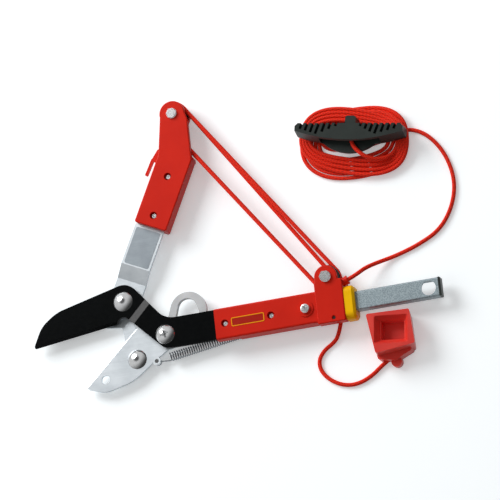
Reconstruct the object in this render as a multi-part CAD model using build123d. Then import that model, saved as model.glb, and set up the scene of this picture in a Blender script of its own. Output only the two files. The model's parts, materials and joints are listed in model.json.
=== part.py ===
from build123d import *
import math
import os

# Rope-driven tree lopper head for a pole. Millimetres, +Z up. The tool lies flat, with its origin
# in the bore at the tang's end, half way through the wall. The tang points to +X, the jaws to -X.

os.makedirs("parts", exist_ok=True)

# ---------------------------------------------------------------- clearances
SEAT = 0.1  # between faces that are bolted or pushed together
RUN = 0.2  # between plates that slide over each other
PIVOT = 0.05  # radial, between a pin and what turns on it
PLAY = 1.0  # radial, where the drive link hangs on the lever pin
POCKET = 0.15  # round a screw head or a nut

# ---------------------------------------------------------------- stack of levels
TANG_DEPTH = 10.0
TANG_WALL = 1.8
PLATE = 4.0  # the black plate
JOGGLE = 3.0  # how far its blade lies under its arm
JAW = 3.6  # the hook blade and the lever bar
LINK = 3.2
CASE_DEPTH = 22.0
HEAD_DEPTH = 26.0
SKIN = 2.0  # wall of the casings
TANG_TOP = TANG_WALL / 2
TANG_LOW = TANG_TOP - TANG_DEPTH
ARM_Z = TANG_TOP - TANG_WALL - SEAT - PLATE
BLADE_Z = ARM_Z - JOGGLE
JAW_Z = BLADE_Z - RUN - JAW
LINK_Z = JAW_Z - RUN - LINK
CASE_MID = ARM_Z - 0.6
BAR_Z = CASE_MID - JAW / 2  # the bar inside the lever casing
CASE_TOP = CASE_MID + CASE_DEPTH / 2
CASE_LOW = CASE_MID - CASE_DEPTH / 2
HEAD_TOP = CASE_MID + HEAD_DEPTH / 2
FLOOR = CASE_MID - HEAD_DEPTH / 2

# ---------------------------------------------------------------- pivots and linkage
LEVER_X, LEVER_Y = -318.0, 42.0
JAW_X, JAW_Y = -277.0, 0.0
LINK_X, LINK_Y = -310.5, -19.0  # the hook's rivet
CRANK_X, CRANK_Y = LEVER_X - 20.2, LEVER_Y - 16.5  # the lever's pin, under the blade
LEVER_ANGLE = 63.5  # of the lever bar from +X, jaws open
PIN = 8.0
CRANK_PIN = 5.0
DOME = 20.0
JAW_BOSS = 14.2  # radius of the hook blade round its pivot
JAW_NUT = 11.0
DOME_RISE = 4.2

# ---------------------------------------------------------------- rope and pulleys
ROPE = 4.2
ROPE_GAP = 0.3  # between a rope's moving run and its turn on a pulley
PULLEY = 25.6
PITCH = 12.2  # radius of the rope's middle on a pulley
PULLEY_WIDTH = 5.9
PULLEY_STEP = 6.2
EYE_WIDTH = 4.6
AXLE = 6.0
AXLE_NUT = 10.0
HEAD_X, HEAD_Y = -103.0, 28.4
TIP_U, TIP_V = 197.3, 16.0  # the lever's axle, along and left of the bar
EYE_RADIUS = AXLE / 2 + 0.4 + ROPE / 2

# ---------------------------------------------------------------- casings and tang
ARM_LEFT, ARM_RIGHT = -222.5, -116.0
ARM_LOW, ARM_HIGH = -16.8, 15.5
LEAN_RISE, LEAN_IN = 7.0, 4.0  # how the casings' lower sides lean in
TANG_WIDTH = 19.5
TANG_TIP = 12.6
TANG_INNER = -150.0
BORE = 15.0
HEAD_LEFT, HEAD_RIGHT = ARM_RIGHT, -86.6
HEAD_LOW, HEAD_HIGH = -19.5, 24.4
HEAD_LEAN_RISE, HEAD_LEAN_IN = 16.0, 6.0
TANG_PLUG = 2.4
EAR = 11.8
LEVER_LOW_V, LEVER_HIGH_V = -21.0, 14.6
LEVER_MOUTH, LEVER_BEND = 80.5, 156.0
SLOPE_FROM = LEVER_BEND - 0.5  # where the lower half's sloping edge starts
TIP_EAR = 13.2
BAR_LOW_V, BAR_HIGH_V = -15.6, 15.8
BAR_RAMP_FROM, BAR_RAMP = 22.5, 15.0  # where the bar steps up, along it
LABEL_LEFT, LABEL_RIGHT, LABEL_HALF = 38.8, 77.5, 13.4

# ---------------------------------------------------------------- fasteners
SCREW, SCREW_HEAD, SCREW_HEAD_RISE = 3.9, 5.8, 2.4
SCREW_SEAT = 5.0  # depth of the heads' seats under the casing
SCREW_ROOM = 0.9  # round a head in its seat
SCREW_POST = 10.6
NUT, NUT_RISE = 7.0, 3.2
TANG_SCREW, TANG_SCREW_HEAD, TANG_NUT = 5.9, 9.6, 10.0
ARM_SCREWS = [(-212.3, -0.9), (-164.0, -0.9)]
LEVER_SCREWS = [(134.3, -2.7), (92.0, -2.7)]
TANG_SCREW_X, TANG_SCREW_Y = -127.2, -1.0

# ---------------------------------------------------------------- spring
SPRING, SPRING_WIRE = 10.0, 1.2
STUD_X, STUD_Y = -290.5, -24.0
ANCHOR_X, ANCHOR_Y = -190.0, -9.5
SPRING_SPAN = math.hypot(ANCHOR_X - STUD_X, ANCHOR_Y - STUD_Y)
COIL_FROM = 14.0  # along the spring from its stud
COIL_SHORT = 9.5  # how far the coil stops before its anchor
COIL_LENGTH = SPRING_SPAN - COIL_FROM - COIL_SHORT
SPRING_Z = ARM_Z - 0.3 - SPRING / 2
HOOK_Z = SPRING_Z - 3.4  # the spring's two end rings

# ---------------------------------------------------------------- small helpers
LOW = (Align.CENTER, Align.CENTER, Align.MIN)
PLACE_LEVER = Pos(LEVER_X, LEVER_Y, 0) * Rot(0, 0, LEVER_ANGLE)


def outline(corners):
    """A closed flat face from corners (x, y, radius)."""
    points = [(x, y) for x, y, _ in corners]
    return make_face(FilletPolyline(*points, radius=[r for _, _, r in corners], close=True))


def plate(corners, bottom, thickness):
    return Pos(0, 0, bottom) * extrude(outline(corners), thickness)


def disc(x, y, bottom, top, diameter):
    return Pos(x, y, bottom) * Cylinder(diameter / 2, top - bottom, align=LOW)


def block(x0, x1, y0, y1, z0, z1):
    centre = Pos((x0 + x1) / 2, (y0 + y1) / 2, (z0 + z1) / 2)
    return centre * Box(x1 - x0, y1 - y0, z1 - z0)


def hexagon(x, y, bottom, top, flats):
    sides = RegularPolygon(flats / 2, 6, major_radius=False)
    return Pos(x, y, bottom) * extrude(sides, top - bottom)


def dome(x, y, bottom, diameter=DOME, rise=DOME_RISE):
    ball = (diameter * diameter / 4 + rise * rise) / (2 * rise)
    cap = Sphere(ball) & Pos(0, 0, ball - rise) * Cylinder(diameter / 2, rise, align=LOW)
    return Pos(x, y, bottom + rise - ball) * cap


def screw(x, y, seat, end, shank, head, rise):
    """A pan-head screw with its head on seat and a cross recess."""
    body = disc(x, y, end, seat, shank) + disc(x, y, seat, seat + rise, head)
    for turn in (0, 90):
        slot = Box(head * 0.62, head * 0.14, rise, align=LOW)
        body -= Pos(x, y, seat + rise * 0.45) * Rot(0, 0, 25 + turn) * slot
    top = body.edges().filter_by(GeomType.CIRCLE).sort_by(Axis.Z)[-8:]
    rim = [e for e in top if abs(e.radius - head / 2) < 0.01 and e.center().Z > seat + rise / 2]
    return fillet(rim, rise * 0.4)


def nut(x, y, bottom, top, flats, bore):
    return hexagon(x, y, bottom, top, flats) - disc(x, y, bottom, top, bore)


def joggled(shape, start, angle, low, high, thickness, begin, ramp, reach=500):
    """The part of a thick prism that lies in a sheet which steps from low to high."""
    steps = [
        (-reach, low),
        (begin, low),
        (begin + ramp, high),
        (reach, high),
        (reach, high + thickness),
        (begin + ramp, high + thickness),
        (begin, low + thickness),
        (-reach, low + thickness),
    ]
    sheet = extrude(make_face(Polyline(*steps, close=True)), reach)
    sheet = Rot(90, 0, 0) * Pos(0, 0, -reach / 2) * sheet
    return shape & Pos(start[0], start[1], 0) * Rot(0, 0, angle) * sheet


def hull(*circles):
    """The face round circles (x, y, radius)."""
    edges = [(Pos(x, y) * Circle(r)).edge() for x, y, r in circles]
    return make_hull(edges)


def rod(start, end, diameter):
    """A straight round bar between two points."""
    way = Vector(*end) - Vector(*start)
    return Plane(origin=start, z_dir=way) * Cylinder(diameter / 2, way.length, align=LOW)


def turn(x, y, z, radius, start, sweep, thickness=ROPE):
    """A rope's turn on a pulley, counterclockwise from the angle start."""
    ring = revolve(Plane.XZ * Pos(radius, 0) * Circle(thickness / 2), Axis.Z, sweep)
    return Pos(x, y, z) * Rot(0, 0, start) * ring


def save(name, shape):
    export_step(shape, f"parts/{name}.step")


# ---------------------------------------------------------------- black plate: blade, neck, arm
MOUTH_HIGH = ARM_HIGH - SKIN - SEAT  # how wide the arm may be inside the casing
MOUTH_LOW = ARM_LOW + SKIN + SEAT
TAIL = TANG_WIDTH / 2 - TANG_WALL - 2 * SEAT


GRIND_UP = 0.6  # where the ground face starts, above the blade's underside
BLADE_TIP_X, BLADE_TIP_Y = -416.4, 9.3
EDGE_END_X, EDGE_END_Y = -326.5, 20.3  # where the cutting edge meets the neck


def fixed_blade():
    corners = [
        (BLADE_TIP_X, BLADE_TIP_Y, 1.0),
        (BLADE_TIP_X + 10.4, BLADE_TIP_Y + 21.2, 30.0),
        (BLADE_TIP_X + 27.4, BLADE_TIP_Y + 33.3, 40.0),
        (-311.5, 61.3, 17.0),
        (-275.5, 16.2, 22.0),
        (ARM_LEFT - SEAT, 16.2, 0),
        (ARM_LEFT - SEAT, MOUTH_HIGH, 0),
        (-160.0, MOUTH_HIGH, 3.0),
        (TANG_INNER - 4, TAIL, 3.0),
        (ARM_RIGHT - 3, TAIL, 2.0),
        (ARM_RIGHT - 3, -TAIL, 2.0),
        (TANG_INNER - 4, -TAIL, 3.0),
        (-160.0, MOUTH_LOW, 3.0),
        (-278.3, MOUTH_LOW, 13.0),
        (-322.0, 31.0, 6.5),
        (EDGE_END_X, EDGE_END_Y, 0),
    ]
    across = math.degrees(math.atan2(JAW_Y - LEVER_Y, JAW_X - LEVER_X))
    prism = plate(corners, BLADE_Z - 1, PLATE + JOGGLE + 2)
    body = joggled(prism, (LEVER_X, LEVER_Y), across, BLADE_Z, ARM_Z, PLATE, 17.0, 8.0)
    run, rise = EDGE_END_X - BLADE_TIP_X, EDGE_END_Y - BLADE_TIP_Y
    grind = Box(math.hypot(run, rise) + 3.6, 6, 6, align=(Align.MAX, Align.MAX, Align.MIN))
    along = Rot(0, 0, math.degrees(math.atan2(rise, run)))
    body -= Pos(EDGE_END_X, EDGE_END_Y, BLADE_Z + GRIND_UP) * along * Rot(-38, 0, 0) * grind
    body -= disc(LEVER_X, LEVER_Y, BLADE_Z - 1, ARM_Z + PLATE, PIN + 2 * SEAT)
    body -= disc(JAW_X, JAW_Y, BLADE_Z, ARM_Z + PLATE + 1, PIN + 2 * SEAT)
    for x, y in ARM_SCREWS:
        body -= disc(x, y, ARM_Z - 1, ARM_Z + PLATE + 1, SCREW + 2 * SEAT)
    return body - disc(TANG_SCREW_X, TANG_SCREW_Y, ARM_Z - 1, ARM_Z + PLATE + 1, TANG_SCREW + 2 * SEAT)


# ---------------------------------------------------------------- hook blade and its link
def hook_blade():
    corners = [
        (-367.5, -40.3, 2.5),
        (-347.0, -47.8, 24.0),
        (-316.5, -40.6, 50.0),
        (-292.0, -23.0, 20.0),
        (JAW_X, JAW_Y - JAW_BOSS + 0.3, 4.0),
        (JAW_X + 8, JAW_Y, 3.0),
        (JAW_X, JAW_Y + JAW_BOSS - 0.3, 4.0),
        (-300.0, 17.0, 8.0),
        (-309.5, 12.2, 2.0),
    ]
    body = plate(corners, JAW_Z, JAW) + disc(JAW_X, JAW_Y, JAW_Z, JAW_Z + JAW, 2 * JAW_BOSS)
    slope = math.degrees(math.atan2(12.2 + 40.3, -309.5 + 367.5))
    grind = Box(110, 9, 6, align=(Align.CENTER, Align.MIN, Align.MIN))
    middle = Pos(-338.5, -14.05, JAW_Z + JAW - 1.5) * Rot(0, 0, slope)
    body -= middle * Pos(0, -0.6, 0) * Rot(-17, 0, 0) * Pos(0, -1.0, 0) * grind
    body += disc(STUD_X, STUD_Y, JAW_Z, JAW_Z + JAW, 8.0)
    body -= disc(STUD_X, STUD_Y, JAW_Z - 1, JAW_Z + JAW + 1, 4.0 + 2 * SEAT)
    body -= disc(JAW_X, JAW_Y, JAW_Z - 1, JAW_Z + JAW + 1, PIN + 2 * PIVOT)
    body -= disc(LINK_X, LINK_Y, JAW_Z - 1, JAW_Z + JAW + 1, PIN + 2 * SEAT)
    return body - disc(-345.7, -34.3, JAW_Z - 1, JAW_Z + JAW + 1, 9.0)


def drive_link():
    knee = (-318.5, 23.0)
    width = 12.4
    flat = hull((LINK_X, LINK_Y, 8.6), (*knee, width / 2))
    flat += hull((*knee, width / 2), (CRANK_X, CRANK_Y, 6.0))
    body = Pos(0, 0, LINK_Z) * extrude(flat, LINK)
    body -= disc(LINK_X, LINK_Y, LINK_Z - 1, LINK_Z + LINK + 1, PIN + 2 * PIVOT)
    return body - disc(CRANK_X, CRANK_Y, LINK_Z - 1, LINK_Z + LINK + 1, CRANK_PIN + 2 * PLAY)


def spring_stud():
    head = HOOK_Z - SPRING_WIRE / 2 - 0.3
    body = disc(STUD_X, STUD_Y, head, JAW_Z + JAW, 4.0)
    return body + disc(STUD_X, STUD_Y, head - 1.2, head, 7.4) + disc(STUD_X, STUD_Y, HOOK_Z + 1, JAW_Z, 5.0)


# ---------------------------------------------------------------- lever bar, in the lever's own frame
def strand_frame():
    """Unit vector along the strands from the lever's axle to the head's, and its left normal."""
    tip = PLACE_LEVER * Pos(TIP_U, TIP_V, 0)
    x, y = tip.position.X, tip.position.Y
    way = Vector(HEAD_X - x, HEAD_Y - y, 0).normalized()
    return Vector(x, y, 0), way, Vector(-way.Y, way.X, 0)


TIP, WAY, SIDE = strand_frame()
WAY_ANGLE = math.degrees(math.atan2(WAY.Y, WAY.X))


def slot_start():
    """The direction of the pulley slot's closed side in the lever's frame, and a point on it."""
    way = math.radians(WAY_ANGLE - LEVER_ANGLE)
    du, dv = math.cos(way), math.sin(way)
    low = PITCH + ROPE / 2 + 1.4
    return du, dv, (TIP_U + low * dv, TIP_V - low * du)


def slot_edge(v):
    """How far along the lever the pulley slot begins, at v across it."""
    du, dv, start = slot_start()
    return start[0] + (v - start[1]) * du / dv


def crank_in_lever():
    x, y = CRANK_X - LEVER_X, CRANK_Y - LEVER_Y
    a = math.radians(LEVER_ANGLE)
    return x * math.cos(a) + y * math.sin(a), y * math.cos(a) - x * math.sin(a)


def lever_bar():
    inner_high = LEVER_HIGH_V - SKIN - SEAT
    strip = outline([
        (-2, BAR_LOW_V + 4, 0),
        (8, BAR_LOW_V, 10.0),
        (slot_edge(BAR_LOW_V) - 4.4, BAR_LOW_V, 2.0),
        (slot_edge(inner_high) - 4.4, inner_high, 2.0),
        (LEVER_MOUTH - SEAT, inner_high, 0),
        (LEVER_MOUTH - SEAT, BAR_HIGH_V, 0),
        (6, BAR_HIGH_V, 10.0),
        (-2, BAR_HIGH_V - 4, 0),
    ])
    u, v = crank_in_lever()
    flat = strip + Circle(14.5) + hull((0, 0, 12.5), (u, v, 5.6))
    prism = Pos(0, 0, JAW_Z - 1) * extrude(flat, BAR_Z - JAW_Z + JAW + 2)
    body = joggled(prism, (0, 0), 0, JAW_Z, BAR_Z, JAW, BAR_RAMP_FROM, BAR_RAMP)
    body -= disc(0, 0, JAW_Z - 1, JAW_Z + JAW + 1, PIN + 2 * PIVOT)
    body -= disc(0, 0, JAW_Z - 1, JAW_Z + 1.5, 14.4)
    body -= disc(u, v, JAW_Z - 1, JAW_Z + JAW + 1, CRANK_PIN + 2 * SEAT)
    for x, y in LEVER_SCREWS:
        body -= disc(x, y, BAR_Z - 1, BAR_Z + JAW + 1, SCREW + 2 * SEAT)
    return PLACE_LEVER * body


def lever_label():
    half = LABEL_HALF
    corners = [(LABEL_LEFT, -half, 2), (LABEL_RIGHT, -half, 2), (LABEL_RIGHT, half, 2), (LABEL_LEFT, half, 2)]
    return PLACE_LEVER * plate(corners, BAR_Z + JAW, 0.25)


# ---------------------------------------------------------------- pivots
def lever_rivet():
    shank = disc(LEVER_X, LEVER_Y, JAW_Z + 0.1, BLADE_Z + PLATE, PIN)
    foot = disc(LEVER_X, LEVER_Y, JAW_Z + 0.1, JAW_Z + 1.4, 13.6)
    return shank + foot + dome(LEVER_X, LEVER_Y, BLADE_Z + PLATE)


JAW_NUT_TOP = JAW_Z - RUN - 0.8


def jaw_bolt():
    top = ARM_Z + PLATE
    body = disc(JAW_X, JAW_Y, FLOOR + 0.4, top, PIN) + dome(JAW_X, JAW_Y, top, rise=4.8)
    for turn_by in (0, 90):
        body -= Pos(JAW_X, JAW_Y, top + 1.8) * Rot(0, 0, 15 + turn_by) * Box(9.0, 1.9, 4, align=LOW)
    return body


def jaw_washer():
    ring = disc(JAW_X, JAW_Y, JAW_Z + JAW + RUN / 2, ARM_Z, 16.0)
    return ring - disc(JAW_X, JAW_Y, JAW_Z, ARM_Z + 1, PIN + 2 * PIVOT)


def jaw_nut():
    body = hexagon(JAW_X, JAW_Y, FLOOR, JAW_NUT_TOP, JAW_NUT)
    body += disc(JAW_X, JAW_Y, JAW_NUT_TOP - 0.4, JAW_Z - RUN, JAW_NUT + 2)
    return body - disc(JAW_X, JAW_Y, FLOOR - 1, JAW_Z, PIN + 2 * PIVOT)


def link_rivet():
    tail = LINK_Z - RUN
    body = disc(LINK_X, LINK_Y, tail, JAW_Z + JAW, PIN) + disc(LINK_X, LINK_Y, tail - 1.6, tail, 13.0)
    return body + dome(LINK_X, LINK_Y, JAW_Z + JAW)


def crank_pin():
    tail = LINK_Z - RUN
    body = disc(CRANK_X, CRANK_Y, tail, JAW_Z + JAW - 0.1, CRANK_PIN)
    return body + disc(CRANK_X, CRANK_Y, tail - 1.4, tail, 10.0)


# ---------------------------------------------------------------- stop loop under the arm
STOP_RISE = 6.0
STOP_LOW = ARM_Z - STOP_RISE
STOP_END, STOP_HIGH = -206.0, 12.5


def stop_loop():
    rise, bottom = STOP_RISE, STOP_LOW
    loop = hull((-251.5, 22.0, 19.0), (-262.0, 13.0, 12.0))
    window = hull((-252.5, 24.5, 10.0), (-259.5, 16.5, 5.6), (-246.0, 17.0, 6.0))
    tail = outline([(-262, -4.0, 3), (-262, STOP_HIGH, 0), (STOP_END, STOP_HIGH, 3), (STOP_END, -4.0, 3)])
    body = Pos(0, 0, bottom) * extrude(loop - window + tail, rise)
    body -= block(-300, -200, -60, -4.0, bottom - 1, ARM_Z + 1)
    body -= disc(JAW_X, JAW_Y, bottom - 1, ARM_Z + 1, 2 * JAW_BOSS + 6)
    return body - disc(*ARM_SCREWS[0], bottom - 1, ARM_Z + 1, SCREW + 2 * SEAT)


# ---------------------------------------------------------------- spring
SPRING_TURN = math.degrees(math.atan2(ANCHOR_Y - STUD_Y, ANCHOR_X - STUD_X))
PLACE_SPRING = Pos(STUD_X, STUD_Y, 0) * Rot(0, 0, SPRING_TURN)
RING = 2.9  # middle radius of the end rings
ROOM_WIDE, ROOM_HIGH = SPRING + 1.6, SPRING + 0.8


def return_spring():
    coil = Cylinder(SPRING / 2, COIL_LENGTH) - Cylinder(SPRING / 2 - SPRING_WIRE, COIL_LENGTH)
    body = Pos(COIL_FROM + COIL_LENGTH / 2, 0, SPRING_Z) * Rot(0, 90, 0) * coil
    wall = SPRING / 2 - SPRING_WIRE / 2
    slant = math.sqrt(wall * wall - (SPRING_Z - HOOK_Z) ** 2)
    for side, at in ((1, 0.0), (-1, SPRING_SPAN)):
        body += Pos(at, 0, HOOK_Z) * Torus(RING, SPRING_WIRE / 2)
        near = COIL_FROM + 1 if side > 0 else COIL_FROM + COIL_LENGTH - 1
        body += rod((at + side * (RING - 0.2), 0, HOOK_Z), (near, slant * side, HOOK_Z), SPRING_WIRE)
    return PLACE_SPRING * body


def spring_anchor():
    low = SPRING_Z - ROOM_HIGH / 2
    pin = disc(ANCHOR_X, ANCHOR_Y, low, ARM_Z, 4.2)
    return pin + disc(ANCHOR_X, ANCHOR_Y, HOOK_Z + SPRING_WIRE, ARM_Z, 6.4)


def spring_room():
    """The way through the arm casing that the spring works in."""
    start = COIL_FROM - 8
    long = SPRING_SPAN - start + RING + 2
    tunnel = Box(long, ROOM_WIDE, ROOM_HIGH, align=(Align.MIN, Align.CENTER, Align.CENTER))
    return PLACE_SPRING * Pos(start, 0, SPRING_Z) * tunnel


# ---------------------------------------------------------------- tang and collar
def tang():
    half = TANG_WIDTH / 2
    tip = TANG_TIP - TANG_PLUG
    outer = block(TANG_INNER, tip, -half, half, TANG_LOW, TANG_TOP)
    ridges = outer.edges().filter_by(Axis.X).group_by(Axis.Z)[-1]
    outer = fillet(ridges, 1.6)
    side = half - TANG_WALL
    body = outer - block(TANG_INNER - 1, TANG_TIP + 1, -side, side, TANG_LOW - 1, TANG_TOP - TANG_WALL)
    body -= disc(0, 0, -TANG_DEPTH, TANG_DEPTH, BORE)
    return body - disc(TANG_SCREW_X, TANG_SCREW_Y, -TANG_DEPTH, TANG_DEPTH, TANG_SCREW + 2 * SEAT)


def tang_end_plug():
    """The dark plug that closes the channel's end, with a short tongue inside."""
    half = TANG_WIDTH / 2
    inner = half - TANG_WALL - SEAT
    plug = block(TANG_TIP - TANG_PLUG, TANG_TIP, -half, half, TANG_LOW, TANG_TOP)
    plug = fillet(plug.edges().group_by(Axis.X)[-1], 0.7)
    tongue = block(BORE / 2 + 0.8, TANG_TIP - TANG_PLUG + 0.5, -inner, inner, TANG_LOW, TANG_TOP - TANG_WALL - SEAT)
    return plug + tongue


def collar():
    wide, deep, long = 35.0, 21.0, 10.4
    flat = Pos(-1.0, 0) * RectangleRounded(wide, deep, 7.0)
    body = extrude(flat, long)
    body = chamfer(body.edges().group_by(Axis.Z)[-1], 2.2)
    middle = TANG_TOP - TANG_DEPTH / 2
    body = Pos(HEAD_RIGHT + SEAT, 0, middle) * Rot(0, 90, 0) * Rot(0, 0, 90) * body
    return body - tang_room(HEAD_RIGHT - 1, HEAD_RIGHT + 20)


def tang_room(x0, x1):
    """The room that the tang takes with its clearance."""
    half = TANG_WIDTH / 2 + SEAT
    return block(x0, x1, -half, half, TANG_LOW - SEAT, TANG_TOP + SEAT)


# ---------------------------------------------------------------- casing halves
def keep_half(body, upper):
    size = 600
    half = block(-size, size, -size, size, CASE_MID, size) if upper else block(
        -size, size, -size, size, -size, CASE_MID)
    return body & half


def screw_post(body, x, y, upper, seat_top, seat_low, screw_size, head, nut_flats, nut_rise, post, sink):
    """Adds a post for a through screw between casing and plate, with its head seat and nut pocket."""
    bore = screw_size + 2 * SEAT
    if upper:
        body += disc(x, y, seat_top, CASE_TOP - 0.5, post)
        if sink > 0:
            body -= disc(x, y, CASE_TOP - sink, CASE_TOP + 5, head + 2 * SCREW_ROOM)
    else:
        body += disc(x, y, CASE_LOW + 0.5, seat_low, post)
        body -= hexagon(x, y, CASE_LOW - 1, CASE_LOW + nut_rise + POCKET, nut_flats + 2 * POCKET)
    return body - disc(x, y, CASE_LOW - 1, CASE_TOP + 5, bore)


def lean_cut(x0, x1, wall, bottom, rise, run):
    """A wedge along X that makes the wall at y = wall lean in by run over its lowest rise."""
    out = -4 if run > 0 else 4
    corners = [(wall, bottom + rise), (wall + run * (1 + 1 / rise), bottom - 1), (wall + out, bottom - 1),
               (wall + out, bottom + rise)]
    return extrude(Plane.YZ.offset(x0) * make_face(Polyline(*corners, close=True)), x1 - x0)


def arm_casing(upper):
    outer = block(ARM_LEFT, ARM_RIGHT, ARM_LOW, ARM_HIGH, CASE_LOW, CASE_TOP)
    outer = fillet(outer.edges().filter_by(Axis.X).group_by(Axis.Z)[-1], 2.0)
    for wall, run in ((ARM_LOW, LEAN_IN), (ARM_HIGH, -LEAN_IN)):
        outer -= lean_cut(ARM_LEFT - 1, ARM_RIGHT + 1, wall, CASE_LOW, LEAN_RISE, run)
    knee = CASE_LOW + LEAN_RISE + 0.4
    body = outer - block(ARM_LEFT + SKIN, ARM_RIGHT + 1, ARM_LOW + SKIN, ARM_HIGH - SKIN, knee, CASE_TOP - SKIN)
    body -= block(ARM_LEFT + SKIN, ARM_RIGHT + 1, ARM_LOW + SKIN + LEAN_IN, ARM_HIGH - SKIN - LEAN_IN,
                  CASE_LOW + SKIN, knee + 1)
    body = keep_half(body, upper)
    mouth = ARM_LEFT + SKIN + 1
    body -= block(ARM_LEFT - 1, mouth, MOUTH_LOW - SEAT, ARM_HIGH - SKIN, ARM_Z - SEAT, ARM_Z + PLATE + SEAT)
    body -= block(ARM_LEFT - 1, STOP_END + SEAT, -4.0 - SEAT, STOP_HIGH + SEAT, STOP_LOW - SEAT, ARM_Z)
    for i, (x, y) in enumerate(ARM_SCREWS):
        under = STOP_LOW if i == 0 else ARM_Z
        body = screw_post(body, x, y, upper, ARM_Z + PLATE, under, SCREW, SCREW_HEAD, NUT, NUT_RISE,
                          SCREW_POST, SCREW_SEAT)
    if upper:
        body += disc(TANG_SCREW_X, TANG_SCREW_Y, CASE_TOP - 0.5, CASE_TOP + 1.0, 16.0)
    body = screw_post(body, TANG_SCREW_X, TANG_SCREW_Y, upper, TANG_TOP, ARM_Z, TANG_SCREW,
                      TANG_SCREW_HEAD, TANG_NUT, 5.0, 13.0, 0)
    if not upper:
        body -= spring_room() & block(ARM_LEFT - 1, ANCHOR_X + 8, ARM_LOW - 5, 5, CASE_LOW + 0.6, ARM_Z + 1)
    else:
        body -= spring_room() & block(ARM_LEFT - 1, ARM_LEFT + 40, ARM_LOW - 5, 5, CASE_LOW + 1, ARM_Z + 0.4)
    return body


def lever_outline(inset=0.0):
    return [
        (LEVER_MOUTH + inset, LEVER_LOW_V + inset, 2.0),
        (LEVER_BEND + 1.5, LEVER_LOW_V + inset, 8.0),
        (TIP_U - 1.0, TIP_V - TIP_EAR - 4.5 + inset, 8.0),
        (TIP_U + 6, TIP_V - TIP_EAR + 2 + inset, 0),
        (TIP_U + 2, TIP_V + TIP_EAR - 1 - inset, 0),
        (TIP_U - 3.5, TIP_V + TIP_EAR - 1.2 - inset, 4.0),
        (LEVER_BEND - 3, LEVER_HIGH_V - inset, 14.0),
        (LEVER_MOUTH + inset, LEVER_HIGH_V - inset, 2.0),
    ]


LEVER_DECK = 2 * PULLEY_STEP  # room for the lever's two pulleys
SLOT_Z0, SLOT_Z1 = CASE_MID - LEVER_DECK / 2 - 0.3, CASE_MID + LEVER_DECK / 2 + 0.3


def pulley_slot():
    """The open slot for the lever's pulleys and the rope, in the lever's frame."""
    du, dv, start = slot_start()
    far = 62.0
    edge = [
        (start[0] - 4 * du, start[1] - 4 * dv),
        (start[0] + far * du, start[1] + far * dv),
        (TIP_U + 40, TIP_V - 60),
        (TIP_U + 40, TIP_V + 40),
        (TIP_U - 2, TIP_V + 40),
    ]
    flat = make_face(Polyline(*edge, close=True)) + Pos(TIP_U, TIP_V) * Circle(PULLEY / 2 + 1.0)
    return Pos(0, 0, SLOT_Z0) * extrude(flat, SLOT_Z1 - SLOT_Z0)


def lever_hollow(inset):
    """The room inside the lever casing, set in further where its sides lean."""
    low, high = LEVER_LOW_V + SKIN + inset, LEVER_HIGH_V - SKIN - inset
    return outline([
        (LEVER_MOUTH + SKIN, low, 1.0),
        (slot_edge(low) - 2.6, low, 1.0),
        (slot_edge(high) - 2.6, high, 1.0),
        (LEVER_MOUTH + SKIN, high, 1.0),
    ])


def slope_cut():
    """Sets the lower half's sloping edge back, under the slot, from the bend to the ear."""
    corners = [
        (SLOPE_FROM, LEVER_LOW_V - 6),
        (SLOPE_FROM, LEVER_LOW_V + LEAN_IN),
        (TIP_U - 3.0, TIP_V - TIP_EAR - 0.5),
        (TIP_U + 3.5, TIP_V - TIP_EAR - 0.3),
        (TIP_U + 12.0, TIP_V - TIP_EAR - 12),
    ]
    flat = make_face(Polyline(*corners, close=True))
    return Pos(0, 0, CASE_LOW - 1) * extrude(flat, SLOT_Z0 - CASE_LOW + 1)


def lever_casing(upper):
    flat = outline(lever_outline()) + Pos(TIP_U, TIP_V) * Circle(TIP_EAR)
    body = Pos(0, 0, CASE_LOW) * extrude(flat, CASE_DEPTH)
    body = fillet(body.edges().group_by(Axis.Z)[-1], 1.2)
    for wall, run in ((LEVER_LOW_V, LEAN_IN), (LEVER_HIGH_V, -LEAN_IN)):
        body -= lean_cut(LEVER_MOUTH - 1, LEVER_BEND + 1, wall, CASE_LOW, LEAN_RISE, run)
    knee = CASE_LOW + LEAN_RISE + 0.4
    body -= Pos(0, 0, knee) * extrude(lever_hollow(0), CASE_TOP - SKIN - knee)
    body -= Pos(0, 0, CASE_LOW + SKIN) * extrude(lever_hollow(LEAN_IN), knee + 1 - CASE_LOW - SKIN)
    body = keep_half(body - pulley_slot() - slope_cut(), upper)
    mouth = LEVER_MOUTH + SKIN + 1
    body -= block(LEVER_MOUTH - 1, mouth, BAR_LOW_V - SEAT, LEVER_HIGH_V - SKIN, BAR_Z - SEAT,
                  BAR_Z + JAW + SEAT)
    for x, y in LEVER_SCREWS:
        body = screw_post(body, x, y, upper, BAR_Z + JAW, BAR_Z, SCREW, SCREW_HEAD, NUT, NUT_RISE,
                          SCREW_POST, SCREW_SEAT)
    body -= disc(TIP_U, TIP_V, CASE_LOW - 1, CASE_TOP + 1, AXLE + 2 * SEAT)
    if upper:
        body += cord_hook()
    else:
        body -= hexagon(TIP_U, TIP_V, CASE_LOW - 1, CASE_LOW + 4.0, AXLE_NUT + 2 * POCKET)
    return PLACE_LEVER * body


def cord_hook():
    """The little hook on the lever casing's side that a cord is hung on."""
    root = outline([(145, 13.5, 0), (161, 13.5, 0), (159, 19.8, 2), (146, 22.4, 2)])
    prong = outline([(129.5, 20.6, 1.2), (129.5, 23.4, 1.2), (148, 22.6, 1), (148, 19.6, 0)])
    return Pos(0, 0, CASE_MID) * extrude(root + prong, 3.4)


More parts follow.
